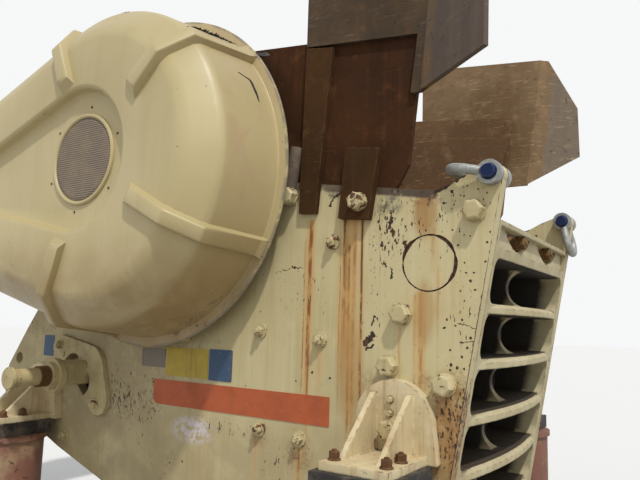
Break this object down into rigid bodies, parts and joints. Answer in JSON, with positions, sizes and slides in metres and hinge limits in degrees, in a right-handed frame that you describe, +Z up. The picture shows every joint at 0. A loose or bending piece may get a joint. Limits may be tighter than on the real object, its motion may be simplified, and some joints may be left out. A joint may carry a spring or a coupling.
{
  "type": "jaw crusher",
  "caption": "Single toggle jaw crusher with cast ribbed front frame, side plates, teardrop drive guard, feed chute with wings, rubber mounted feet on round pedestals and lifting shackles.",
  "frame": {"origin": "middle of the footprint box on the ground", "axes": "+X forward from the drive motor to the fixed jaw, -Y towards the drive side with the belt guard, +Z up"},
  "size_m": [4.4324, 2.826, 3.4872],
  "materials": {
    "cream_paint": "worn satin paint with rust streaks",
    "guard_shell": "semi gloss moulded fibreglass, chalked",
    "rusty_plate": "matt rust",
    "manganese_steel": "worn cast steel",
    "machined_steel": "machined",
    "galvanised": "dull zinc",
    "blue_paint": "gloss",
    "wheel_paint": "satin",
    "motor_paint": "satin",
    "belt_rubber": "matt",
    "pad_rubber": "matt, dusty",
    "screen_wire": "dusty woven wire",
    "pedestal_paint": "dusty red primer",
    "rusty_clamp": "light rust"
  },
  "bodies": {
    "crusher": {"drive_side_plate": "cream_paint", "off_side_plate": "cream_paint", "front_frame": "cream_paint", "rear_frame": "cream_paint", "cheek_plates": "manganese_steel", "fixed_jaw_die": "manganese_steel", "moving_jaw_die": "manganese_steel", "pitman": "cream_paint", "toggle_plate": "machined_steel", "setting_wedges": "machined_steel", "tension_rods": "machined_steel", "eccentric_shaft": "machined_steel", "drive_bearing_housing": "cream_paint", "off_bearing_housing": "cream_paint", "drive_flywheel": "wheel_paint", "off_flywheel": "wheel_paint", "drive_belts": "belt_rubber", "motor": "motor_paint", "motor_pulley": "wheel_paint", "motor_base": "cream_paint", "drive_guard": "guard_shell", "off_guard": "guard_shell", "drive_guard_screen": "screen_wire", "off_guard_screen": "screen_wire", "guard_brackets": "cream_paint", "drive_chute_lower": "rusty_plate", "drive_chute_upper": "rusty_plate", "off_chute_lower": "rusty_plate", "off_chute_upper": "rusty_plate", "chute_liners": "rusty_plate", "chute_rear_wall": "rusty_plate", "drive_hold_downs": "rusty_plate", "off_hold_downs": "rusty_plate", "front_feet": "cream_paint", "rear_feet": "cream_paint", "rubber_pads": "pad_rubber", "front_pedestals": "pedestal_paint", "rear_pedestals": "pedestal_paint", "drive_setting_unit": "cream_paint", "off_setting_unit": "cream_paint", "jaw_clamps": "rusty_clamp"},
    "drive_shackle": {"drive_shackle_bow": "galvanised", "drive_shackle_pin": "blue_paint"},
    "off_shackle": {"off_shackle_bow": "galvanised", "off_shackle_pin": "blue_paint"}
  },
  "joints": [
    {"name": "drive_shackle_hinge", "type": "hinge", "parent": "crusher", "child": "drive_shackle", "pos_m": [2.15084, -0.7225, 2.263], "axis": [0, 1, 0], "range_deg": [0, 246.17]},
    {"name": "off_shackle_hinge", "type": "hinge", "parent": "crusher", "child": "off_shackle", "pos_m": [2.15084, 0.7225, 2.263], "axis": [0, 1, 0], "range_deg": [-246.17, 0]}
  ]
}
